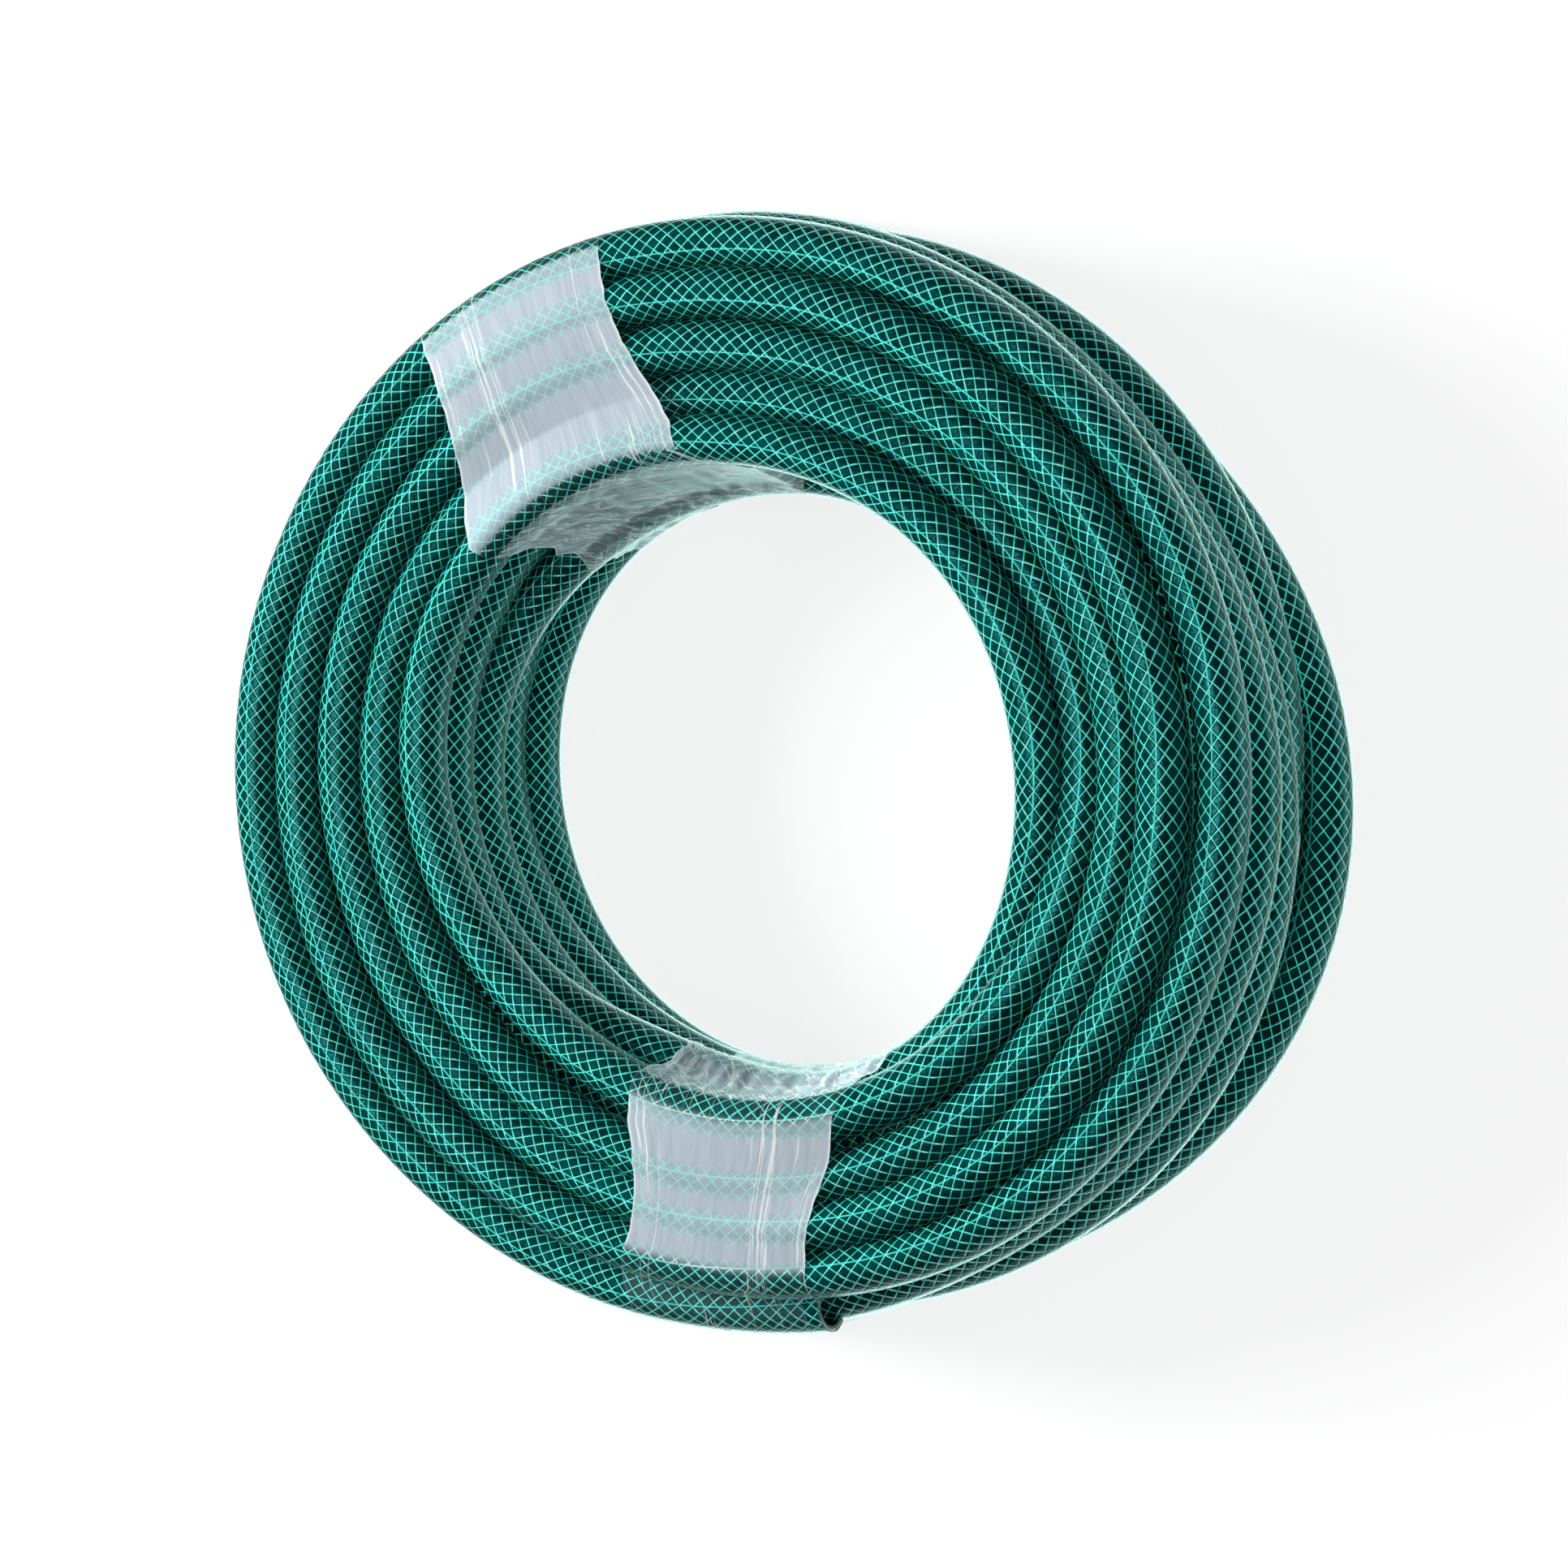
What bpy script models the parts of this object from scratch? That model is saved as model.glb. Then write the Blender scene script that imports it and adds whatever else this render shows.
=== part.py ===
"""Coil of braid-reinforced garden hose held by two stretch-film bands.

Units are metres and +Z is up. The coil lies flat with its axis on +Z, and the
origin is the centre of the plane it rests on. The hose runs from the free end
on top of the coil to the far end on the underside.
"""

from math import cos, floor, pi, radians, sin, sqrt, tan

import bpy

# Hose section
HOSE_OUTSIDE = 0.0165
COVER_WALL = 0.00075
BRAID_CORNER = 0.00742
BRAID_WALL = 0.0003
TUBE_CORNER = 0.00701
TUBE_WALL = 0.0006

# Winding: five layers, each a flat spiral, alternately inward and outward
START_ANGLE = radians(-68.3)
START_RADIUS = 0.1853
TURN_PITCH = 0.0169
LAYER_PITCH = 0.0169
LAYER_TURNS = (4.9725, 4.096, 4.94, 4.06, 4.40)
NEST_STEP = 0.0071
CLIMB_TURNS = 0.16
OVALNESS = 0.0060
STATIONS = 12
SPIRAL_CENTRE = (0.00375, 0.00648)

# Stretch-film bands
FILM = 0.0003
FILM_GAP = 0.0003
BAND_WIDTH = 0.076
BAND_WAIST = 0.90
BAND_ROWS = 6
LOWER_BAND_ANGLE = radians(-77.5)
UPPER_BAND_ANGLE = radians(126.0)

HOSE_RADIUS = HOSE_OUTSIDE / 2
HALF_STEP = pi / STATIONS
CORNER_GROWTH = 1 + (1 / cos(HALF_STEP) - 1) / 2
BOTTOM_LAYER_Z = FILM + FILM_GAP + HOSE_RADIUS
TOP_LAYER_Z = BOTTOM_LAYER_Z + (len(LAYER_TURNS) - 1) * LAYER_PITCH
TURNS = sum(LAYER_TURNS)


def clear_scene():
    for obj in list(bpy.data.objects):
        bpy.data.objects.remove(obj, do_unlink=True)


def new_collection(name):
    collection = bpy.data.collections.new(name)
    bpy.context.scene.collection.children.link(collection)
    return collection


def new_material(name, color, roughness, transmission=0.0, alpha=1.0):
    material = bpy.data.materials.new(name)
    material.use_nodes = True
    shader = material.node_tree.nodes["Principled BSDF"]
    shader.inputs["Base Color"].default_value = (*color, 1.0)
    shader.inputs["Roughness"].default_value = roughness
    shader.inputs["Transmission Weight"].default_value = transmission
    shader.inputs["Alpha"].default_value = alpha
    material.diffuse_color = (*color, alpha)
    return material


def smooth(x):
    x = min(max(x, 0.0), 1.0)
    return x * x * (3 - 2 * x)


def winding(turn):
    """Radius and height of the hose centreline after this many turns.

    Every second layer lies about half a pitch in from both walls of the coil. The hose
    shifts sideways only where it has the layer to itself, so it clears its neighbours.
    """
    radius = START_RADIUS
    height = TOP_LAYER_Z
    done = 0.0
    for layer, turns in enumerate(LAYER_TURNS):
        way = -1 if layer % 2 == 0 else 1
        radius += way * TURN_PITCH * min(max(turn - done, 0.0), turns)
        done += turns
        if layer < len(LAYER_TURNS) - 1:
            height -= LAYER_PITCH * smooth((turn - done) / CLIMB_TURNS + 0.5)
            shift = done - way * CLIMB_TURNS
            radius += NEST_STEP * smooth((turn - shift) / CLIMB_TURNS + 0.5)
    return radius, height


def corner(station):
    """Centreline point at one of the evenly spaced angles that every turn shares."""
    angle = -2 * pi * station / STATIONS
    radius, height = winding((START_ANGLE - angle) / (2 * pi))
    radius = (radius + OVALNESS * cos(2 * angle)) * CORNER_GROWTH
    x = SPIRAL_CENTRE[0] + radius * cos(angle)
    y = SPIRAL_CENTRE[1] + radius * sin(angle)
    return x, y, height


def between(first, second, share):
    return tuple(a + (b - a) * share for a, b in zip(first, second))


def centreline():
    """The hose's path as straight runs, cut off square to a run at both ends."""
    begin = -START_ANGLE * STATIONS / (2 * pi)
    end = begin + TURNS * STATIONS
    first = floor(begin)
    last = floor(end)
    points = [between(corner(first), corner(first + 1), begin - first)]
    points += [corner(station) for station in range(first + 1, last + 1)]
    points.append(between(corner(last), corner(last + 1), end - last))
    return points


def hose_tube(name, points, sides, corner_radius, wall, material, collection):
    """A hollow tube along the winding: a bevelled curve, thickened inward."""
    curve = bpy.data.curves.new(name, "CURVE")
    curve.dimensions = "3D"
    curve.twist_mode = "Z_UP"
    curve.bevel_depth = corner_radius
    curve.bevel_resolution = (sides - 4) // 2
    curve.use_fill_caps = False
    spline = curve.splines.new("POLY")
    spline.points.add(len(points) - 1)
    for point, place in zip(spline.points, points):
        point.co = (*place, 1.0)
        point.tilt = pi / sides
    tube = bpy.data.objects.new(name, curve)
    collection.objects.link(tube)
    tube.data.materials.append(material)
    weld = tube.modifiers.new("Weld", "WELD")
    weld.merge_threshold = 0.00001
    shell = tube.modifiers.new("Wall", "SOLIDIFY")
    shell.thickness = wall
    shell.offset = -1.0
    shell.use_even_offset = True
    return tube


def reach(points, middle, half_width):
    """Least and greatest centreline radius where a band passes round the coil."""
    across = (-sin(middle), cos(middle))
    along = (cos(middle), sin(middle))
    radii = []
    for x, y, _ in points:
        side = x * across[0] + y * across[1]
        forward = x * along[0] + y * along[1]
        if forward > 0 and abs(side) < half_width:
            radii.append(sqrt(x * x + y * y))
    return min(radii), max(radii)


def band_outline(inner, outer, low, high):
    """Loop in the radius-height plane, as (radius, height, narrowing)."""
    bend = HOSE_RADIUS + FILM_GAP
    flat = bend * tan(pi / 8)
    loop = []
    for cx, cz, turn in (
        (outer - bend, high - bend, 0.5),
        (inner + bend, high - bend, 1.5),
        (inner + bend, low + bend, 2.5),
        (outer - bend, low + bend, 3.5),
    ):
        for step in (-0.25, 0.25):
            angle = (turn + step) * pi / 2
            far = sqrt(bend * bend + flat * flat)
            loop.append((cx + far * cos(angle), cz + far * sin(angle)))
    full = []
    for index, (r, z) in enumerate(loop):
        full.append((r, z, 0.0))
        if index % 2 == 1:
            r2, z2 = loop[(index + 1) % len(loop)]
            for step in range(1, 5):
                share = step / 5
                middle = 4 * share * (1 - share)
                full.append((r + (r2 - r) * share, z + (z2 - z) * share, middle))
    return full


def band_sheet(middle, inner, outer, low, high):
    """Points and quads of the film, curved to the coil and pulled in at mid face."""
    outline = band_outline(inner, outer, low, high)
    points = []
    for row in range(BAND_ROWS + 1):
        side = BAND_WIDTH * (row / BAND_ROWS - 0.5)
        for r, z, narrowing in outline:
            w = side * (1 - (1 - BAND_WAIST) * narrowing)
            forward = sqrt(r * r - w * w)
            x = forward * cos(middle) - w * sin(middle)
            y = forward * sin(middle) + w * cos(middle)
            points.append((x, y, z))
    count = len(outline)
    quads = []
    for row in range(BAND_ROWS):
        for k in range(count):
            a = row * count + k
            b = row * count + (k + 1) % count
            quads.append((a, a + count, b + count, b))
    return points, quads


def film_band(name, path, middle, material, collection):
    """A closed wrap of stretch film, drawn taut round the whole bundle of turns."""
    least, greatest = reach(path, middle, BAND_WIDTH * 0.8)
    inner = (least - HOSE_RADIUS) * cos(HALF_STEP) - FILM_GAP
    outer = greatest + HOSE_RADIUS + FILM_GAP
    low = BOTTOM_LAYER_Z - HOSE_RADIUS - FILM_GAP
    high = TOP_LAYER_Z + HOSE_RADIUS + FILM_GAP
    points, quads = band_sheet(middle, inner, outer, low, high)
    mesh = bpy.data.meshes.new(name)
    mesh.from_pydata(points, [], quads)
    mesh.update()
    band = bpy.data.objects.new(name, mesh)
    collection.objects.link(band)
    mesh.materials.append(material)
    shell = band.modifiers.new("Film", "SOLIDIFY")
    shell.thickness = FILM
    shell.offset = 1.0
    shell.use_even_offset = True
    return band


def build():
    clear_scene()
    coil = new_collection("garden_hose_coil")
    path = centreline()
    cover = new_material("cover_pvc", (0.0, 0.16, 0.10), 0.22, 0.3)
    yarn = new_material("braid_yarn", (0.16, 0.62, 0.52), 0.55)
    tube = new_material("tube_pvc", (0.20, 0.26, 0.24), 0.35)
    low_film = new_material("film_lower", (0.55, 0.60, 0.64), 0.25, 0.0, 0.55)
    high_film = new_material("film_upper", (0.58, 0.63, 0.67), 0.25, 0.0, 0.55)
    cover_corner = HOSE_RADIUS / cos(pi / 8)
    hose_tube("outer_cover", path, 8, cover_corner, COVER_WALL, cover, coil)
    hose_tube("braid_sleeve", path, 6, BRAID_CORNER, BRAID_WALL, yarn, coil)
    hose_tube("inner_tube", path, 6, TUBE_CORNER, TUBE_WALL, tube, coil)
    film_band("film_band_lower", path, LOWER_BAND_ANGLE, low_film, coil)
    film_band("film_band_upper", path, UPPER_BAND_ANGLE, high_film, coil)


build()
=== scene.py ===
"""Finished look of the coil of braid-reinforced garden hose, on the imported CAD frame."""

from collections import namedtuple

import bpy
import numpy as np
from mathutils import Matrix, Vector


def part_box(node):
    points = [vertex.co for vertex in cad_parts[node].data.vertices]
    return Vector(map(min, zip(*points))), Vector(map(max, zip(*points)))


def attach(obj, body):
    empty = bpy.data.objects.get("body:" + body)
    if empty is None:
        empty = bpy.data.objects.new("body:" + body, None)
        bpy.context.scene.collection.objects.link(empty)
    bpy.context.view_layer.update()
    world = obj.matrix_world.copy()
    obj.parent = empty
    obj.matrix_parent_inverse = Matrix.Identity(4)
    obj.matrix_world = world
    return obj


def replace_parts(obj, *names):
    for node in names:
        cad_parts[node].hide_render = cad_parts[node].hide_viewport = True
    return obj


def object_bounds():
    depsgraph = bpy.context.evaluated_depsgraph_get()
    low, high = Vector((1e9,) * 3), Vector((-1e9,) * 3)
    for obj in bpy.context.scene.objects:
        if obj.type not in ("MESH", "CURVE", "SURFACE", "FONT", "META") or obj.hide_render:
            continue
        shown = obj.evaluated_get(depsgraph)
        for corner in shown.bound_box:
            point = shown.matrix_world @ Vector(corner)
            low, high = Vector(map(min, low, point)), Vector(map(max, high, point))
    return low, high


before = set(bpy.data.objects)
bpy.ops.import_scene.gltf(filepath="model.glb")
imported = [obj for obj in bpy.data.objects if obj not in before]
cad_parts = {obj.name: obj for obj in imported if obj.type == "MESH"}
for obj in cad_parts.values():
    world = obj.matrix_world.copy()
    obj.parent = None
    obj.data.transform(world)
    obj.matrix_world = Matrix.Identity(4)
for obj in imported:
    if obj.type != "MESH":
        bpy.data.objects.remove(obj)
cad_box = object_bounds()

# Hose section and winding, in metres, as in the CAD model
HOSE_RADIUS = 0.00825
COVER_INNER = 0.0075
YARN_OUTER = 0.00745
YARN_INNER = 0.00715
TUBE_OUTER = 0.0071
BORE_RADIUS = 0.00625
START_ANGLE = np.radians(-68.3)
START_RADIUS = 0.1853
TURN_PITCH = 0.0169
LAYER_TURNS = (4.9725, 4.096, 4.94, 4.06, 4.40)
NEST_STEP = 0.0071
CLIMB_TURNS = 0.16
CENTRE = np.array([0.00375, 0.00648])
TURNS = sum(LAYER_TURNS)

# Yarns each way round the hose, and the run of hose from one to the next of the same way
YARNS = 12
YARN_STEP = 0.00533
# Radians that give 24 yarn ends round the cut
DOT_WAVES = 150.8

# Fineness of the meshes: stations along a turn, and sides round a section
STATIONS = 120
COVER_SIDES = 28
INNER_SIDES = 16
FACE_SIDES = 48

# How each layer lies off true circles, outermost and innermost turn, in mm: mean, then cos and
# sin of one, two and three times the angle. The coil is wound by hand and leans a little.
LAYER_LIE = (
    ((2.2, -1.6, 0.3, 6.0, 0.6, -0.1, -0.5), (-2.3, 2.4, 3.2, 5.6, -1.8, -1.2, 0.5)),
    ((-2.1, -1.6, 2.3, 7.0, 2.7, 3.7, 0.1), (1.7, 3.5, -1.1, 6.8, -3.2, 0.8, -1.9)),
    ((3.5, 0.0, -2.6, 3.0, -2.7, 4.0, -1.3), (-2.8, 0.3, -2.6, 3.0, -1.3, -3.6, -1.9)),
    ((0.6, -3.8, 7.7, 0.1, 3.6, 2.8, -0.3), (5.3, 0.7, -3.1, 2.2, -2.0, -1.9, 0.3)),
    ((6.5, -1.4, -1.9, 1.8, -4.4, 6.9, 1.9), (-1.1, 0.2, -0.1, 8.3, -1.1, 1.8, 0.8)),
)
MM = 0.001
# Radius up to which the innermost turn's lie holds, how much farther out the outermost turn's
# takes over, and the turns over which one layer's lie gives way to the next layer's
CORE_RADIUS = 0.108
CORE_TO_RIM = 0.074
LIE_FADE = 0.3

# The turn where the top layer's own spread and rise begin, the turns between their values, and
# where and over how many turns they fade out
TOP_START = 0.0325
TOP_STEP = 0.17
TOP_END = 5.13
TOP_FADE = 0.15
# Those values in mm: sideways, outward if above zero, and up or down
TOP_SPREAD = (
    1.1, 1.9, -0.6, -0.4, 0.1, -1.2, -3.0, -0.8, 0.4, 0.4, -0.7, -0.2, -0.6, 0.2, 1.3, 1.2,
    1.4, 2.1, 3.5, 3.5, 3.0, 3.5, 3.7, 1.4, 0.8, 2.8, 5.0, 6.5, 7.6, 8.3, 6.5,
)
TOP_RISE = (
    0.7, 0.1, -0.5, -0.3, -0.3, -0.3, -0.3, 0.4, 0.9, 2.5, 4.1, 2.0, -0.4, -0.4, 0.4, -1.0,
    -1.4, -0.8, 0.2, -2.6, -4.2, -7.0, -6.2, 0.7, 0.1, -0.3, 0.1, -0.1, -1.8, -1.6, -0.1,
)

# The free end is tucked in and hangs down, and its tip is tucked in a little more
END_TUCK = 0.006
END_DROP = 0.011
END_START = 0.03
END_FADE = 0.3
TIP_TUCK = 0.003
TIP_FADE = 0.1

# The hose dips where the top layer comes to its end, between these two turns
DIP_DEPTH = 0.009
DIP_START = 4.75
DIP_END = 5.07
DIP_FADE = 0.16

# Small waves in the radius: size in metres, radians per turn and start
RIPPLES = ((0.0003, 7.3, 1.0), (0.0002, 17.1, 0.0))

# Each band's direction across the bundle, how far its middle line passes from the centre, and
# half its width over the outermost and the innermost strand of the top layer. Then how far the
# film stays milky past the crowns of those two strands. Last, how far the loose tail on the
# inner wall hangs out, to the right if above zero, and the seed of its unevenness.
Band = namedtuple("Band", "azimuth aim half_outer half_inner spill_outer spill_inner tail seed")
LOWER_BAND = Band(np.radians(-87.9), 0.0238, 0.0369, 0.0384, -0.0020, 0.0004, -0.010, 5)
UPPER_BAND = Band(np.radians(119.7), 0.0147, 0.0389, 0.0439, 0.02, 0.02, 0.024, 9)

# Mesh of a band: points round the bundle and rows across it
BAND_POINTS = 420
BAND_ROWS = 61
# Planes across the band that its line is worked out in, and how far they reach to each side of
# its middle line
BAND_PLANES = 57
PLANE_REACH = (-0.062, 0.050)
# Directions tried, and points laid, round the line pulled tight in one plane
TAUT_ANGLES = 720
TAUT_POINTS = 2400
# Distance from the coil's centre of the point that angles round the bundle are counted about
HUB_RADIUS = 0.141

# Clear space under the film, and how far it sags to a strand that lies low: at most, and as a
# share of the drop
FILM_LIFT = 0.00035
MOST_SAG = 0.004
SAG_SHARE = 0.85
# Most that a slanting cut widens a strand, and how far the free end is drawn out under a band
WIDEST_STRAND = 1.3
FREE_END_LEAD = 0.02
# Strands this near the top count as the top row, past whose ends the milkiness, partly a painted
# reflection, fades
TOP_ROW_DEPTH = 0.009
MILK_AND_REFLECTION_FADE = 0.0046
# The band's neck half way in, and how near its ends the width stops changing
BAND_WAIST = 0.0045
EDGE_INSET = 0.02
# Fineness of the ragged edge, and how many waves pucker the film
RAGGED_KNOTS = 90
PUCKER_WAVES = 14

# Lens and sensor in mm, turn about Y, X and Z in radians, and place, with the height counted
# from the top layer's centreline
CAMERA_LENS = 75.08
CAMERA_SENSOR = 36.0
CAMERA_TURN = (0.5278, -0.1151, 0.136)
CAMERA_PLACE = (0.55256, 0.12910, 0.89603)

# Soft lights aimed at the origin: place, width and height, power, and the rays that miss them
LIGHTS = {
    "key": ((-1.30, 0.02, 0.58), (0.6, 1.1), 46, "visible_glossy"),
    "sheen": ((-0.05, 0.0, 1.95), (0.50, 0.75), 30, "visible_diffuse"),
    "fill": ((1.25, 0.25, 0.80), (0.35, 1.2), 4.5, "visible_glossy"),
}
# Floor: half its side, how far below the coil it lies, and its own brightness
FLOOR_HALF = 4
FLOOR_GAP = 0.0005
FLOOR_GLOW = 0.82
# Strength of the backdrop as a light, and as it is seen
WORLD_LIGHT = 0.035
WORLD_SEEN = 0.95

low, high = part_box("outer_cover")
TOP_Z = high.z - HOSE_RADIUS
BOTTOM_Z = low.z + HOSE_RADIUS
LAYER_PITCH = (TOP_Z - BOTTOM_Z) / (len(LAYER_TURNS) - 1)


def color(r, g, b):
    return (r, g, b, 1.0)


# Wall of the hose: between the yarns, seen at a slant (partly the deeper look through the cover,
# partly painted shade), and painted shade close beside a yarn
WALL_DARK = color(0.0, 0.034, 0.033)
WALL_LIGHT = color(0.0, 0.074, 0.070)
WALL_SLANT_SHADE = color(0.0, 0.011, 0.0105)
WALL_SHADE = color(0.0, 0.010, 0.010)
# Yarns under the cover: facing, at a slant (partly the deeper look through the cover, partly
# painted shade), where two cross, and the straight one
YARN_DARK = color(0.04, 0.66, 0.55)
YARN_LIGHT = color(0.10, 0.96, 0.84)
YARN_SLANT_SHADE = color(0.035, 0.50, 0.38)
YARN_KNOT = color(0.30, 1.0, 0.93)
YARN_STRAIGHT = color(0.07, 0.86, 0.74)
# Gloss over the wall and over the yarns
GLOSS_WALL = color(0.12, 1.0, 0.95)
GLOSS_YARN = color(0.85, 1.0, 1.0)
# Cut end, with the ends of the yarns in it
CUT_DARK = color(0.22, 0.30, 0.30)
CUT_LIGHT = color(0.42, 0.50, 0.50)
CUT_YARN = color(0.10, 0.75, 0.62)
# Bare braid and inner tube
BRAID_DARK = color(0.08, 0.5, 0.42)
BRAID_LIGHT = color(0.16, 0.7, 0.6)
TUBE_DARK = color(0.010, 0.020, 0.020)
TUBE_LIGHT = color(0.030, 0.050, 0.048)
# Film: thinly and thickly streaked, where it clings, over a yarn, and in its creases, rim and
# painted highlights
FILM_DARK = color(0.56, 0.652, 0.733)
FILM_LIGHT = color(0.59, 0.674, 0.746)
FILM_CLINGING = color(0.38, 0.60, 0.64)
FILM_YARN = color(0.45, 1.0, 0.93)
FILM_CREASE_AND_HIGHLIGHT = color(0.98, 1.0, 1.0)
# Surroundings
PALE = color(1.0, 1.0, 1.0)
FLOOR_GREY = color(0.35, 0.35, 0.35)
FLOOR_CARD = color(0.68, 1.0, 0.95)
SKY = color(0.9, 0.95, 1.0)


def smooth(x):
    x = np.clip(x, 0.0, 1.0)
    return x * x * (3 - 2 * x)


def winding(turn):
    """Centreline radius and height after this many turns, as arrays."""
    radius = np.full_like(turn, START_RADIUS)
    height = np.full_like(turn, TOP_Z)
    done = 0.0
    for layer, turns in enumerate(LAYER_TURNS):
        way = -1 if layer % 2 == 0 else 1
        radius += way * TURN_PITCH * np.clip(turn - done, 0.0, turns)
        done += turns
        if layer < len(LAYER_TURNS) - 1:
            height -= LAYER_PITCH * smooth((turn - done) / CLIMB_TURNS + 0.5)
            shift = done - way * CLIMB_TURNS
            radius += NEST_STEP * smooth((turn - shift) / CLIMB_TURNS + 0.5)
    return radius, height


def blend_layers(turn):
    """How much of each layer's own lie counts at each turn, fading over the climbs."""
    ends = np.cumsum((0.0,) + LAYER_TURNS)
    share = np.ones((len(LAYER_TURNS), len(turn)))
    for layer in range(len(LAYER_TURNS)):
        if layer > 0:
            share[layer] *= smooth((turn - ends[layer]) / LIE_FADE + 0.5)
        if layer < len(LAYER_TURNS) - 1:
            share[layer] *= smooth((ends[layer + 1] - turn) / LIE_FADE + 0.5)
    return share / share.sum(0)


def layer_lie(turn, angle, radius):
    """The radius with each layer's own lie off true circles added."""
    waves = [np.cos(0 * angle)]
    for k in (1, 2, 3):
        waves += [np.cos(k * angle), np.sin(k * angle)]
    waves = np.stack(waves)
    outer = np.clip((radius - CORE_RADIUS) / CORE_TO_RIM, 0, 1)
    for share, (rim, core) in zip(blend_layers(turn), LAYER_LIE):
        lie = outer * (np.array(rim) @ waves) + (1 - outer) * (np.array(core) @ waves)
        radius = radius + MM * share * lie
    return radius


def spline(turn, step, values):
    """Smooth line through values spaced evenly in turns, held flat past the last."""
    values = np.array(values)
    at = np.clip(turn / step, 0, len(values) - 1.001)
    i = at.astype(int)
    f = at - i
    padded = np.concatenate([values[:1], values, values[-1:]])
    a, b, c, d = (padded[i + k] for k in range(4))
    return b + 0.5 * f * (c - a + f * (2 * a - 5 * b + 4 * c - d + f * (3 * (b - c) + d - a)))


def run_along(points):
    """Length along a line of points, from its first."""
    steps = np.linalg.norm(np.diff(points, axis=0), axis=1)
    return np.concatenate([[0.0], np.cumsum(steps)])


# Points, tangents, sideways and upward normals and run length along the hose
Path = namedtuple("Path", "place tangent side up run")


def hose_path():
    turn = np.linspace(0.0, TURNS, int(TURNS * STATIONS) + 1)
    angle = START_ANGLE - 2 * np.pi * turn
    radius, height = winding(turn)
    radius = layer_lie(turn, angle, radius)
    top = MM * smooth((TOP_END - turn) / TOP_FADE)
    radius = radius + top * spline(turn - TOP_START, TOP_STEP, TOP_SPREAD)
    height = height + top * spline(turn - TOP_START, TOP_STEP, TOP_RISE)
    end = 1 - smooth((turn - END_START) / END_FADE)
    radius = radius - END_TUCK * end - TIP_TUCK * (1 - smooth(turn / TIP_FADE))
    into_dip = DIP_DEPTH * smooth((turn - DIP_START) / DIP_FADE)
    height = height - END_DROP * end - into_dip * smooth((DIP_END - turn) / DIP_FADE)
    for size, rate, start in RIPPLES:
        radius = radius + size * np.sin(rate * turn + start)
    outward = np.stack([np.cos(angle), np.sin(angle), 0 * angle], 1)
    x = CENTRE[0] + radius * np.cos(angle)
    y = CENTRE[1] + radius * np.sin(angle)
    place = np.stack([x, y, height], 1)
    tangent = np.gradient(place, axis=0)
    tangent /= np.linalg.norm(tangent, axis=1)[:, None]
    side = np.cross(tangent, np.array([0.0, 0.0, 1.0]))
    side /= np.linalg.norm(side, axis=1)[:, None]
    side *= np.sign((side * outward).sum(1))[:, None]
    up = np.cross(side, tangent)
    up *= np.sign(up[:, 2])[:, None]
    return Path(place, tangent, side, up, run_along(place))


def grid_mesh(name, points, uv):
    """A mesh from a rows x columns grid of points, closed round the columns."""
    rows, cols = points.shape[:2]
    row = np.repeat(np.arange(rows - 1), cols)
    col = np.tile(np.arange(cols), rows - 1)
    a = row * cols + col
    b = row * cols + (col + 1) % cols
    faces = np.stack([a, b, b + cols, a + cols], 1)
    mesh = bpy.data.meshes.new(name)
    mesh.from_pydata(points.reshape(-1, 3).tolist(), [], faces.tolist())
    layer = mesh.uv_layers.new(name="HoseUV")
    corner_rows = np.stack([row, row, row + 1, row + 1], 1)
    corner_cols = np.stack([col, col + 1, col + 1, col], 1)
    values = uv(corner_rows.ravel(), corner_cols.ravel())
    layer.data.foreach_set("uv", values.astype(np.float32).ravel())
    mesh.shade_smooth()
    return mesh


def place_piece(name, mesh, material):
    piece = bpy.data.objects.new(name, mesh)
    bpy.context.scene.collection.objects.link(piece)
    piece.data.materials.append(material)
    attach(piece, "root")
    return piece


def tube_piece(name, path, first, last, radius, sides, material, flip=False):
    """A stretch of open tube round the path, facing outward, or inward if flip."""
    a = np.linspace(0, 2 * np.pi, sides, endpoint=False)[None, :, None]
    keep = slice(first, last + 1)
    ring = np.cos(a) * path.side[keep, None, :] + np.sin(a) * path.up[keep, None, :]
    points = path.place[keep, None, :] + radius * ring
    if flip:
        points = points[:, ::-1]
    length = path.run[keep] / YARN_STEP

    def uv(row, col):
        v = col / sides
        return np.stack([length[row], 1 - v if flip else v], 1)

    return place_piece(name, grid_mesh(name, points, uv), material)


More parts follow.
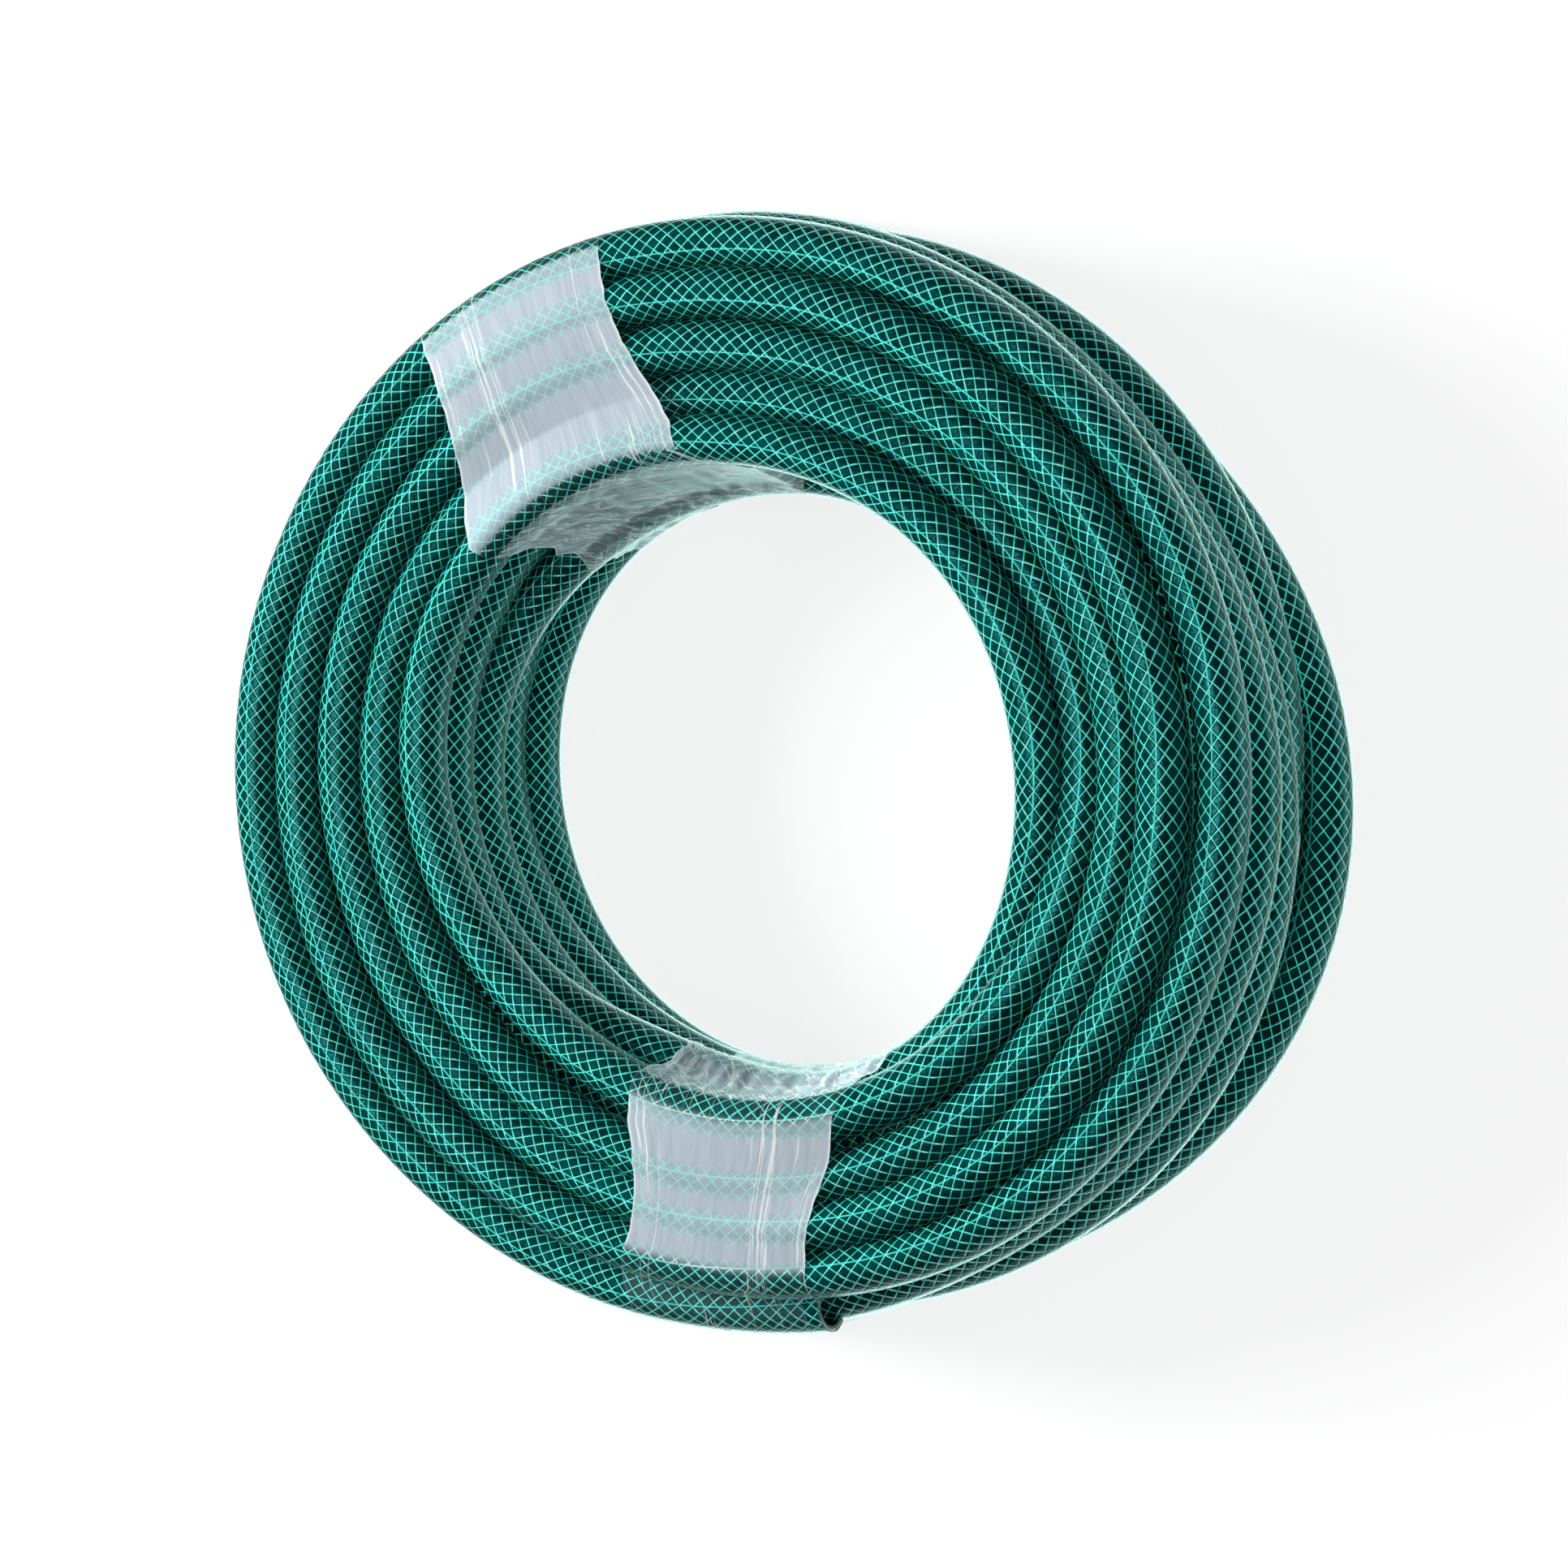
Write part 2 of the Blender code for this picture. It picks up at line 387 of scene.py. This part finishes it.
class Graph:
    """Short way to write a material's node tree."""

    def __init__(self, name):
        self.material = bpy.data.materials.new(name)
        self.material.use_nodes = True
        self.tree = self.material.node_tree
        self.shader = self.tree.nodes["Principled BSDF"]

    def node(self, kind, values=(), **settings):
        node = self.tree.nodes.new(kind)
        for key, value in settings.items():
            setattr(node, key, value)
        for socket, value in values:
            self.feed(node.inputs[socket], value)
        return node

    def feed(self, socket, value):
        if isinstance(value, bpy.types.NodeSocket):
            self.tree.links.new(value, socket)
        else:
            socket.default_value = value

    def set(self, **inputs):
        for name, value in inputs.items():
            self.feed(self.shader.inputs[name.replace("_", " ")], value)

    def math(self, operation, a, b=0.0, clamp=False):
        values = [(0, a), (1, b)]
        return self.node("ShaderNodeMath", values, operation=operation, use_clamp=clamp).outputs[0]

    def times(self, a, b):
        return self.math("MULTIPLY", a, b)

    def most(self, a, b, clamp=False):
        return self.math("MAXIMUM", a, b, clamp)

    def away(self, value, middle=0.5):
        """How far the value is from the middle."""
        return self.math("ABSOLUTE", self.math("SUBTRACT", value, middle))

    def ramp(self, value, start, end, low=0.0, high=1.0):
        values = [(0, value), (1, start), (2, end), (3, low), (4, high)]
        return self.node("ShaderNodeMapRange", values, interpolation_type="SMOOTHSTEP").outputs[0]

    def mix(self, share, a, b):
        values = [(0, share), (6, a), (7, b)]
        return self.node("ShaderNodeMix", values, data_type="RGBA").outputs[2]

    def noise(self, vector, scale, detail=2.0, rough=0.5):
        values = [("Vector", vector), ("Scale", scale), ("Detail", detail), ("Roughness", rough)]
        return self.node("ShaderNodeTexNoise", values).outputs["Fac"]

    def position(self):
        return self.node("ShaderNodeTexCoord").outputs["Object"]

    def uv(self, name):
        """The two coordinates of a UV map."""
        whole = self.node("ShaderNodeUVMap", uv_map=name).outputs[0]
        return self.node("ShaderNodeSeparateXYZ", [(0, whole)]).outputs[:2]

    def vector(self, x, y, z=0.0):
        return self.node("ShaderNodeCombineXYZ", [(0, x), (1, y), (2, z)]).outputs[0]

    def bump(self, height, strength, distance):
        values = [("Height", height), ("Strength", strength), ("Distance", distance)]
        self.set(Normal=self.node("ShaderNodeBump", values).outputs[0])


def braid_pattern(g, place, uv_map):
    """Masks of both yarn ways and of the straight yarn, and closeness to a yarn."""
    u, v = g.uv(uv_map)
    drift = g.math("SUBTRACT", g.noise(place, 45.0, 1.0), 0.5)
    around = g.math("ADD", g.times(v, YARNS), g.times(drift, 0.35))
    thick = g.ramp(g.noise(place, 500.0, 1.0), 0.3, 0.7, 0.036, 0.058)
    gaps, yarns = [], []
    for way in ("ADD", "SUBTRACT"):
        phase = g.math("FRACT", g.math(way, around, u))
        gap = g.math("SUBTRACT", 0.5, g.away(phase))
        gaps.append(gap)
        yarns.append(g.ramp(gap, g.math("ADD", thick, 0.035), thick))
    sway = g.times(g.math("SUBTRACT", g.noise(place, 9.0, 0.0), 0.5), 0.22)
    stripe = g.times(g.away(v, g.math("ADD", 0.25, sway)), YARNS)
    return *yarns, g.ramp(stripe, 0.078, 0.038), g.math("MINIMUM", *gaps)


def hose_material():
    """Clear dark green wall, with pale yarns in it and a wet gloss on it, painted shade at a slant
    and beside the yarns, and a painted glow on the yarns.
    """
    g = Graph("cover_pvc")
    place = g.position()
    first, second, straight, nearest = braid_pattern(g, place, "HoseUV")
    crossed = g.most(first, second)
    facing = g.node("ShaderNodeLayerWeight", [("Blend", 0.5)]).outputs["Facing"]
    slant = g.ramp(facing, 0.15, 0.85)
    wall = g.mix(g.ramp(g.noise(place, 110.0, 3.0), 0.3, 0.7), WALL_DARK, WALL_LIGHT)
    # Darker where seen at a slant: partly the deeper look through the clear cover, partly painted
    # shade on the sides of the tube
    wall = g.mix(slant, wall, WALL_SLANT_SHADE)
    # Painted shade in the wall close beside each yarn
    wall = g.mix(g.ramp(nearest, 0.22, 0.08, 0.0, 0.45), wall, WALL_SHADE)
    yarn = g.mix(g.ramp(g.noise(place, 260.0, 2.0), 0.3, 0.7), YARN_DARK, YARN_LIGHT)
    # Yarns darker where seen at a slant: partly the deeper look through the cover, partly painted
    # shade
    yarn = g.mix(slant, yarn, YARN_SLANT_SHADE)
    yarn = g.mix(g.times(g.times(first, second), 0.6), yarn, YARN_KNOT)
    body = g.mix(crossed, wall, yarn)
    body = g.mix(g.times(straight, 0.85), body, YARN_STRAIGHT)
    # Painted light: the yarns glow, most where they face the viewer, as a painted highlight on the
    # crowns and light on their shaded sides
    painted_glow = g.times(g.most(crossed, straight), g.ramp(facing, 0.0, 0.16, 0.30, 0.06))
    g.set(Base_Color=body, Emission_Color=body, Emission_Strength=painted_glow)
    grain = g.ramp(g.noise(place, 1300.0, 2.0), 0.2, 0.8, 0.14, 0.23)
    g.set(Roughness=g.math("ADD", grain, g.times(crossed, 0.10)))
    fine = g.times(g.noise(place, 1000.0, 3.0, 0.6), 0.85)
    g.bump(g.math("ADD", g.ramp(nearest, 0.0, 0.17), fine), 0.5, 0.0005)
    middle = g.ramp(facing, 0.28, 0.42, 0.30, 0.06)
    level = g.most(middle, g.ramp(facing, 0.55, 0.85, 0.0, 0.75))
    glint = g.times(crossed, g.ramp(facing, 0.30, 0.50, 0.55, 0.0))
    g.set(Specular_IOR_Level=g.math("ADD", level, glint))
    g.set(Specular_Tint=g.mix(crossed, GLOSS_WALL, GLOSS_YARN))
    return g.material


def plain_material(name, dark, light, roughness, scale):
    g = Graph(name)
    place = g.position()
    g.set(Base_Color=g.mix(g.noise(place, scale, 3.0), dark, light))
    g.set(Roughness=roughness, Specular_IOR_Level=0.08)
    g.bump(g.noise(place, scale * 4, 2.0), 0.2, 0.0003)
    return g.material


def cut_material():
    """Bare cut plastic, with a ring of dots where the yarns end in it."""
    g = Graph("cut_pvc")
    across, round_ring = g.uv("HoseUV")
    place = g.position()
    band = g.ramp(g.away(across), 0.16, 0.08)
    dots = g.ramp(g.math("SINE", g.times(round_ring, DOT_WAVES)), 0.2, 0.8)
    body = g.mix(g.noise(place, 900.0, 3.0), CUT_DARK, CUT_LIGHT)
    body = g.mix(g.times(band, g.times(dots, 0.8)), body, CUT_YARN)
    g.set(Base_Color=body, Roughness=0.38)
    g.bump(g.noise(place, 2200.0, 2.0), 0.5, 0.0002)
    return g.material


# The cut end from outside to bore: radius, and how far it stands proud of the cut
CUT_STEPS = (
    (HOSE_RADIUS, -0.00025),
    (0.00820, 0.0),
    (COVER_INNER, 0.0),
    (YARN_OUTER, 0.00022),
    (YARN_INNER, 0.00022),
    (TUBE_OUTER, 0.0),
    (0.00630, 0.0),
    (BORE_RADIUS, -0.00020),
)


def cut_face(name, path, at, way, material):
    """The ring of plastic seen where the hose was cut, a little uneven, layers as steps."""
    a = np.linspace(0, 2 * np.pi, FACE_SIDES, endpoint=False)
    radii, proud = np.array(CUT_STEPS).T
    proud = proud[:, None] + 0.00012 * np.sin(3 * a + 1) + 0.00008 * np.sin(7 * a) - 0.00012
    ring = np.cos(a)[:, None] * path.side[at] + np.sin(a)[:, None] * path.up[at]
    points = path.place[at] + radii[:, None, None] * ring[None]
    points = points + way * proud[..., None] * path.tangent[at]
    if way > 0:
        points = points[:, ::-1]

    def uv(row, col):
        return np.stack([row / (len(CUT_STEPS) - 1), col / FACE_SIDES], 1)

    piece = place_piece(name, grid_mesh(name, points, uv), material)
    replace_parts(piece, "outer_cover")


def build_hose():
    cover = hose_material()
    path = hose_path()
    end = len(path.run) - 1
    cuts = list(range(0, end, STATIONS)) + [end]
    for index, (first, last) in enumerate(zip(cuts, cuts[1:])):
        name = f"hose_turn_{index + 1:02d}"
        piece = tube_piece(name, path, first, last, HOSE_RADIUS, COVER_SIDES, cover)
        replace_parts(piece, "outer_cover")
    face = cut_material()
    cut_face("cut_end_free", path, 0, -1, face)
    cut_face("cut_end_far", path, end, 1, face)
    yarn = plain_material("braid_yarn", BRAID_DARK, BRAID_LIGHT, 0.6, 900.0)
    liner = plain_material("tube_pvc", TUBE_DARK, TUBE_LIGHT, 0.4, 300.0)
    inner = (
        ("braid_layer", YARN_OUTER, yarn, "braid_yarn", False, "braid_sleeve"),
        ("inner_liner", BORE_RADIUS, liner, "tube_pvc", True, "inner_tube"),
    )
    for name, radius, material, slot, flip, node in inner:
        piece = tube_piece(name, path, 0, end, radius, INNER_SIDES, material, flip)
        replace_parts(piece, node)
    return path


def film_marks(g, across, along, streak, crumple, milk_and_reflection, fold, yarn):
    """Pull lines, crumples, hems and a painted highlight on the weave where the milky part gives
    way to clear, as one mask of marks.
    """
    thin = g.vector(g.times(across, 42.0), along, 3.0)
    patch = g.vector(g.times(across, 5.0), along, 7.0)
    some = g.ramp(g.noise(patch, 1.3, 1.0), 0.53, 0.65)
    crease = g.times(g.ramp(g.away(g.noise(thin, 1.0, 1.0, 0.4)), 0.035, 0.006), some)
    ridge = g.times(g.ramp(g.away(crumple), 0.034, 0.004), fold)
    edge = g.times(g.away(across), 2.0)
    hem = g.times(g.ramp(g.away(edge, 0.70), 0.010, 0.003), g.ramp(streak, 0.40, 0.55))
    # Painted highlight: the yarns under the film turn white where the milky part gives way to
    # clear, joined to the hems
    weave_highlight = g.ramp(g.away(milk_and_reflection, 0.42), 0.36, 0.12)
    weave_highlight = g.times(weave_highlight, g.times(yarn, g.ramp(streak, 0.30, 0.50)))
    hem = g.most(hem, g.times(weave_highlight, 1.5))
    return g.most(g.most(g.times(crease, 0.8), g.times(ridge, 0.9)), g.times(hem, 0.5))


def film_material(name):
    """Milky where the film bridges the gaps and, as a painted reflection, where it faces up or
    into the hole; clear where it clings, with creases and a rim that glow a little as painted
    light.
    """
    g = Graph(name)
    across, along = g.uv("HoseUV")
    marks = g.node("ShaderNodeVertexColor", layer_name="Film")
    look = g.node("ShaderNodeSeparateColor", [(0, marks.outputs[0])])
    milk_and_reflection, rim, fold = look.outputs[:3]
    contact = marks.outputs["Alpha"]
    first, second, straight, _ = braid_pattern(g, g.position(), "BraidUV")
    yarn = g.most(g.most(first, second), straight)
    streak = g.noise(g.vector(g.times(across, 14.0), along), 4.0, 4.0, 0.65)
    slant = g.math("ADD", g.times(across, 7.0), g.times(along, 9.0))
    crumple = g.noise(g.vector(slant, g.times(along, 4.0), across), 1.6, 4.0, 0.6)
    torn = g.times(crumple, fold)
    mark = film_marks(g, across, along, streak, crumple, milk_and_reflection, fold, yarn)
    haze_and_reflection = g.times(milk_and_reflection, g.ramp(streak, 0.25, 0.75, 0.93, 1.04))
    haze_and_reflection = g.times(haze_and_reflection, g.ramp(torn, 0.25, 0.75, 1.0, 0.80))
    white = g.most(g.times(rim, 0.75), g.times(mark, 0.85))
    g.set(Alpha=g.most(haze_and_reflection, white, True))
    plain = g.mix(g.ramp(streak, 0.35, 0.65), FILM_DARK, FILM_LIGHT)
    plain = g.mix(g.times(contact, 0.35), plain, FILM_CLINGING)
    plain = g.mix(g.times(g.times(yarn, contact), 0.80), plain, FILM_YARN)
    g.set(Base_Color=g.mix(white, plain, FILM_CREASE_AND_HIGHLIGHT))
    # Painted light: the white marks and the rim glow a little
    g.set(Emission_Color=PALE, Emission_Strength=g.times(white, 0.22))
    g.set(Roughness=g.ramp(streak, 0.3, 0.7, 0.24, 0.36), Specular_IOR_Level=0.35)
    g.bump(g.math("ADD", g.times(streak, 0.06), g.times(torn, 2.0)), 0.5, 0.0006)
    g.material.surface_render_method = "BLENDED"
    return g.material


def band_directions(azimuth):
    """Level directions out across the bundle, and square to that along the hose."""
    ahead = np.array([np.cos(azimuth), np.sin(azimuth)])
    return ahead, np.array([-np.sin(azimuth), np.cos(azimuth)])


def strand_sections(path, azimuth, offset):
    """Each strand that a plane beside the centre cuts: out, height, half width, foot row."""
    ahead, aside = band_directions(azimuth)
    level = path.place[:, :2] - CENTRE
    out, beside = level @ ahead, level @ aside - offset
    cut = np.nonzero((beside[:-1] * beside[1:] <= 0) & (out[:-1] > 0))[0]
    share = beside[cut] / (beside[cut] - beside[cut + 1])
    rho = out[cut] + share * (out[cut + 1] - out[cut])
    height = path.place[cut, 2] + share * (path.place[cut + 1, 2] - path.place[cut, 2])
    stretch = 1 / np.abs(path.tangent[cut, :2] @ aside)
    return rho, height, HOSE_RADIUS * np.minimum(stretch, WIDEST_STRAND), cut + share


def lengthen(path, more):
    """The path with its first end drawn out straight, so a band's edge has something to lie on."""
    steps = np.arange(more, 0, -0.001)

    def lead(rows):
        return np.concatenate([np.repeat(rows[:1], len(steps), 0), rows])

    extra = path.place[0] - path.tangent[0] * steps[:, None]
    place = np.concatenate([extra, path.place])
    run = np.concatenate([path.run[0] - steps, path.run])
    return Path(place, lead(path.tangent), lead(path.side), lead(path.up), run)


def taut_loop(rho, height, half):
    """Closed line pulled tight round the strands, as dense even points."""
    a = np.linspace(0, 2 * np.pi, TAUT_ANGLES, endpoint=False)
    middle = rho[:, None] * np.cos(a) + height[:, None] * np.sin(a)
    edge = np.hypot(half[:, None] * np.cos(a), HOSE_RADIUS * np.sin(a))
    reach = np.max(middle + edge, 0) + FILM_LIFT
    slope = (np.roll(reach, -1) - np.roll(reach, 1)) / (2 * (a[1] - a[0]))
    out = reach * np.cos(a) - slope * np.sin(a)
    up = reach * np.sin(a) + slope * np.cos(a)
    points = np.stack([out, up], 1)
    points = np.vstack([points, points[:1]])
    run = run_along(points)
    t = np.linspace(0, run[-1], TAUT_POINTS, endpoint=False)
    return np.stack([np.interp(t, run, points[:, k]) for k in (0, 1)], 1)


def angles_about_hub(loop):
    return np.unwrap(np.arctan2(loop[:, 1] - (TOP_Z + BOTTOM_Z) / 2, loop[:, 0] - HUB_RADIUS))


def facing_of(loop):
    """Outward normals of a closed line, and how far each faces up and into the hole."""
    edge = np.roll(loop, -1, 0) - np.roll(loop, 1, 0)
    normal = np.stack([edge[:, 1], -edge[:, 0]], 1)
    normal /= np.linalg.norm(normal, axis=1)[:, None]
    return normal, smooth((normal[:, 1] - 0.90) / 0.07), smooth((-normal[:, 0] - 0.82) / 0.08)


def film_line(path, band, offset, angles):
    """The film in one plane: line, gap to the hose, place on the braid, and how far it is on
    the milky top, partly a painted reflection, and in the hole."""
    rho, height, half, foot = strand_sections(path, band.azimuth, offset)
    dense = taut_loop(rho, height, half)
    once = angles_about_hub(dense)
    thrice = np.concatenate([once - 2 * np.pi, once, once + 2 * np.pi])
    wide = np.tile(dense, (3, 1))
    loop = np.stack([np.interp(angles, thrice, wide[:, k]) for k in (0, 1)], 1)
    _, top, hole = facing_of(loop)
    row = np.nonzero(height > TOP_Z - TOP_ROW_DEPTH)[0]
    row = row[np.argsort(rho[row])]
    milky_and_reflecting = smooth(0.5 + (rho[row[-1]] + band.spill_outer - loop[:, 0]) / MILK_AND_REFLECTION_FADE)
    milky_and_reflecting = top * milky_and_reflecting * smooth(0.5 + (loop[:, 0] - rho[row[0]] + band.spill_inner) / MILK_AND_REFLECTION_FADE)
    # The film dips to the strands that lie lower than their neighbours
    on_top = np.nonzero(top > 0)[0]
    order = np.argsort(loop[on_top, 0])
    taut = np.interp(rho[row], loop[on_top, 0][order], loop[on_top, 1][order])
    sag = np.clip(taut - height[row] - HOSE_RADIUS - FILM_LIFT, 0, MOST_SAG) * SAG_SHARE
    loop[on_top, 1] -= np.interp(loop[on_top, 0], rho[row], sag) * top[on_top]
    away = np.hypot((loop[:, None, 0] - rho) / half, (loop[:, None, 1] - height) / HOSE_RADIUS)
    near = away.argmin(1)
    turned = np.arctan2(loop[:, 1] - height[near], loop[:, 0] - rho[near]) / (2 * np.pi)
    along = np.interp(foot[near], np.arange(len(path.run)), path.run) / YARN_STEP
    gap = (away.min(1) - 1) * HOSE_RADIUS
    return loop, gap, np.stack([along, turned], 1), milky_and_reflecting, hole


def band_edges(band, middle, normal, hole, rng):
    """Reach of the band to the right and left of its middle line, at each point round it."""
    out, up = middle[:, 0], middle[:, 1]
    inward = np.clip((out.max() - EDGE_INSET - out) / (np.ptp(out) - 2 * EDGE_INSET), 0, 1)
    down = np.clip((up.max() - up) / np.ptp(up), 0, 1)
    waist = BAND_WAIST * np.sin(np.pi * inward) * smooth(np.abs(normal[:, 1]) * 3 - 1)
    span = band.half_outer + (band.half_inner - band.half_outer) * inward - waist
    knots = np.linspace(0, BAND_POINTS, RAGGED_KNOTS)
    ragged = np.interp(np.arange(BAND_POINTS), knots, rng.normal(0, 1, RAGGED_KNOTS))
    left = span + 0.0002 * ragged
    right = span + 0.0002 * np.roll(ragged, 40)
    swing = hole * smooth(down * 3.0)
    if band.tail > 0:
        right = right + swing * band.tail * (1 + 0.08 * np.roll(ragged, 11))
        left = left - swing * 0.018 + swing * 0.0012 * ragged
    else:
        left = left - swing * band.tail * (0.7 + 0.8 * down) + swing * 0.0008 * ragged
        # Drawn back on the outer wall, so the free end of the hose stays clear
        left = left - 0.007 * smooth(normal[:, 0] * 2 - 0.4)
        right = right - swing * 0.006 + swing * 0.0010 * np.roll(ragged, 23)
    return right, left


def pucker_waves(rng, where):
    """Fine waves that run slantwise over the film."""
    around = np.arange(BAND_POINTS)
    pucker = np.zeros_like(where)
    for _ in range(PUCKER_WAVES):
        along, across, start = rng.uniform(2, 9), rng.uniform(8, 30), rng.uniform(0, 6)
        slant = across * where * 40 + along * 2 * np.pi * around / BAND_POINTS
        pucker += np.sin(slant + start) / PUCKER_WAVES
    return pucker


def lay_braid_uv(mesh, weave):
    """Where each corner of the film lies on the hose's braid, kept whole over each face."""
    layer = mesh.uv_layers.new(name="BraidUV")
    index = np.empty(len(mesh.loops), np.int32)
    mesh.loops.foreach_get("vertex_index", index)
    corner = weave.reshape(-1, 2)[index].reshape(-1, 4, 2)
    corner[..., 1] = corner[:, :1, 1] + (corner[..., 1] - corner[:, :1, 1] + 0.5) % 1 - 0.5
    corner[..., 1] -= np.round(corner[:, :1, 1] - 0.25)
    layer.data.foreach_set("uv", corner.astype(np.float32).ravel())


def mark_film(mesh, share, gap, slack, top, hole):
    """Milkiness with its painted reflection, rim, hole wall and contact with the hose, point by
    point.
    """
    bridge = smooth((gap - 0.00015) / 0.0016)
    clear = np.clip(1 - top - hole, 0, 1)
    # Milky mostly where the film faces up or into the hole, a painted reflection of the lamps, and
    # a little more where it bridges a gap, its own haze
    milk_and_reflection = (0.86 + 0.08 * bridge) * top + (0.50 + 0.34 * bridge) * hole
    milk_and_reflection = milk_and_reflection + (0.03 + 0.09 * bridge) * clear
    rim = smooth((np.abs(share)[:, None] - 0.975) / 0.02)
    # The rim is whiter where the film faces up or into the hole: painted reflection
    rim = rim * (0.45 + 0.55 * slack) * (0.35 + 0.65 * (top + hole))
    contact = 1 - smooth((gap - 0.0006) / 0.0018)
    look = mesh.color_attributes.new(name="Film", type="FLOAT_COLOR", domain="POINT")
    values = np.stack([np.clip(milk_and_reflection, 0, 1), rim, hole, contact], -1)
    look.data.foreach_set("color", values.astype(np.float32).ravel())


def build_band(name, node, path, band):
    rng = np.random.default_rng(band.seed)
    path = lengthen(path, FREE_END_LEAD)
    dense = taut_loop(*strand_sections(path, band.azimuth, band.aim)[:3])
    middle = dense[(np.arange(BAND_POINTS) * len(dense) / BAND_POINTS).astype(int)]
    angles = angles_about_hub(middle)
    normal, _, hole = facing_of(middle)
    offsets = np.linspace(band.aim + PLANE_REACH[0], band.aim + PLANE_REACH[1], BAND_PLANES)
    lines = [film_line(path, band, offset, angles) for offset in offsets]
    loops, gaps, braid, tops, holes = (np.array(values) for values in zip(*lines))

    # Each point of the mesh lies between two of the planes
    right, left = band_edges(band, middle, normal, hole, rng)
    share = np.linspace(-1, 1, BAND_ROWS)
    reach = np.where(share[:, None] < 0, share[:, None] * right, share[:, None] * left)
    where = band.aim + reach
    low_row = np.clip(np.searchsorted(offsets, where) - 1, 0, BAND_PLANES - 2)
    mix = (where - offsets[low_row]) / (offsets[low_row + 1] - offsets[low_row])
    mix = np.clip(mix, 0, 1)
    column = np.arange(BAND_POINTS)[None]

    def between(first, second):
        part = mix[..., None] if first.ndim > mix.ndim else mix
        return first * (1 - part) + second * part

    flat, gap, top, wall = (
        between(values[low_row, column], values[low_row + 1, column])
        for values in (loops, gaps, tops, holes)
    )
    first, second = braid[low_row, column], braid[low_row + 1, column]
    jump = np.abs(second[..., 0] - first[..., 0]) > 3
    second = np.where(jump[..., None], first, second)
    second[..., 1] = first[..., 1] + (second[..., 1] - first[..., 1] + 0.5) % 1 - 0.5
    weave = between(first, second)

    # Between the strands the film sinks a little, and it puckers where it is slack
    pucker = pucker_waves(rng, where)
    slack = smooth(gap / 0.0012)
    sink = np.minimum(gap * 0.55, 0.0005 + 0.0012 * hole) + 0.0007 * hole * slack * (pucker * 2)
    sink = np.where(gap > 0.0002, sink, 0) + 0.0001 * pucker * slack
    flat = flat - sink[..., None] * normal[None]
    ahead, aside = band_directions(band.azimuth)
    level = CENTRE + flat[..., :1] * ahead + where[..., None] * aside
    points = np.concatenate([level, flat[..., 1:]], -1)

    def uv(row, col):
        return np.stack([row / (BAND_ROWS - 1), col / BAND_POINTS * 4], 1)

    mesh = grid_mesh(name, points, uv)
    lay_braid_uv(mesh, weave)
    mark_film(mesh, share, gap, slack, top, wall)
    slot = node.replace("film_band_", "film_")
    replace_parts(place_piece(name, mesh, film_material(slot)), node)


def floor_material():
    """Pale floor. In the hose's gloss it is bright in the coil's hole and to the right of it."""
    g = Graph("floor_pale")
    seen = g.node("ShaderNodeLightPath").outputs["Is Glossy Ray"]
    x = g.node("ShaderNodeSeparateXYZ", [(0, g.position())]).outputs[0]
    card = g.times(g.ramp(x, -0.16, -0.10, -0.6, 2.7), seen)
    g.set(Base_Color=FLOOR_GREY, Roughness=0.8)
    g.set(Emission_Color=g.mix(seen, PALE, FLOOR_CARD))
    g.set(Emission_Strength=g.math("ADD", FLOOR_GLOW, card))
    return g.material


def build_floor():
    half = FLOOR_HALF
    corners = [(-half, -half, 0), (half, -half, 0), (half, half, 0), (-half, half, 0)]
    mesh = bpy.data.meshes.new("floor")
    mesh.from_pydata(corners, [], [(0, 1, 2, 3)])
    mesh.materials.append(floor_material())
    floor = bpy.data.objects.new("floor", mesh)
    floor.location.z = cad_box[0].z - FLOOR_GAP
    bpy.context.scene.collection.objects.link(floor)
    floor.visible_diffuse = False


def build_world():
    """The backdrop shows pale but lights the coil only faintly."""
    world = bpy.data.worlds.new("studio")
    world.use_nodes = True
    tree = world.node_tree
    background = tree.nodes["Background"]
    background.inputs["Color"].default_value = SKY
    strength = tree.nodes.new("ShaderNodeMapRange")
    strength.inputs["To Min"].default_value = WORLD_LIGHT
    strength.inputs["To Max"].default_value = WORLD_SEEN
    seen = tree.nodes.new("ShaderNodeLightPath").outputs["Is Camera Ray"]
    tree.links.new(seen, strength.inputs["Value"])
    tree.links.new(strength.outputs[0], background.inputs["Strength"])
    bpy.context.scene.world = world


def build_lights():
    for name, (place, size, power, misses) in LIGHTS.items():
        data = bpy.data.lights.new(name, "AREA")
        data.shape = "RECTANGLE"
        data.size, data.size_y = size
        data.energy = power
        light = bpy.data.objects.new(name, data)
        light.location = place
        light.rotation_mode = "QUATERNION"
        light.rotation_quaternion = (Vector() - Vector(place)).to_track_quat("-Z", "Y")
        setattr(light, misses, False)
        bpy.context.scene.collection.objects.link(light)


def build_camera():
    data = bpy.data.cameras.new("camera")
    data.sensor_width = CAMERA_SENSOR
    data.lens = CAMERA_LENS
    camera = bpy.data.objects.new("camera", data)
    yaw, pitch, roll = (Matrix.Rotation(a, 4, axis) for a, axis in zip(CAMERA_TURN, "YXZ"))
    x, y, above = CAMERA_PLACE
    camera.matrix_world = Matrix.Translation((x, y, TOP_Z + above)) @ (yaw @ pitch @ roll)
    bpy.context.scene.collection.objects.link(camera)
    bpy.context.scene.camera = camera


hose = build_hose()
build_band("stretch_film_lower", "film_band_lower", hose, LOWER_BAND)
build_band("stretch_film_upper", "film_band_upper", hose, UPPER_BAND)
build_floor()
build_world()
build_lights()
build_camera()
bpy.context.scene.view_settings.view_transform = "Standard"
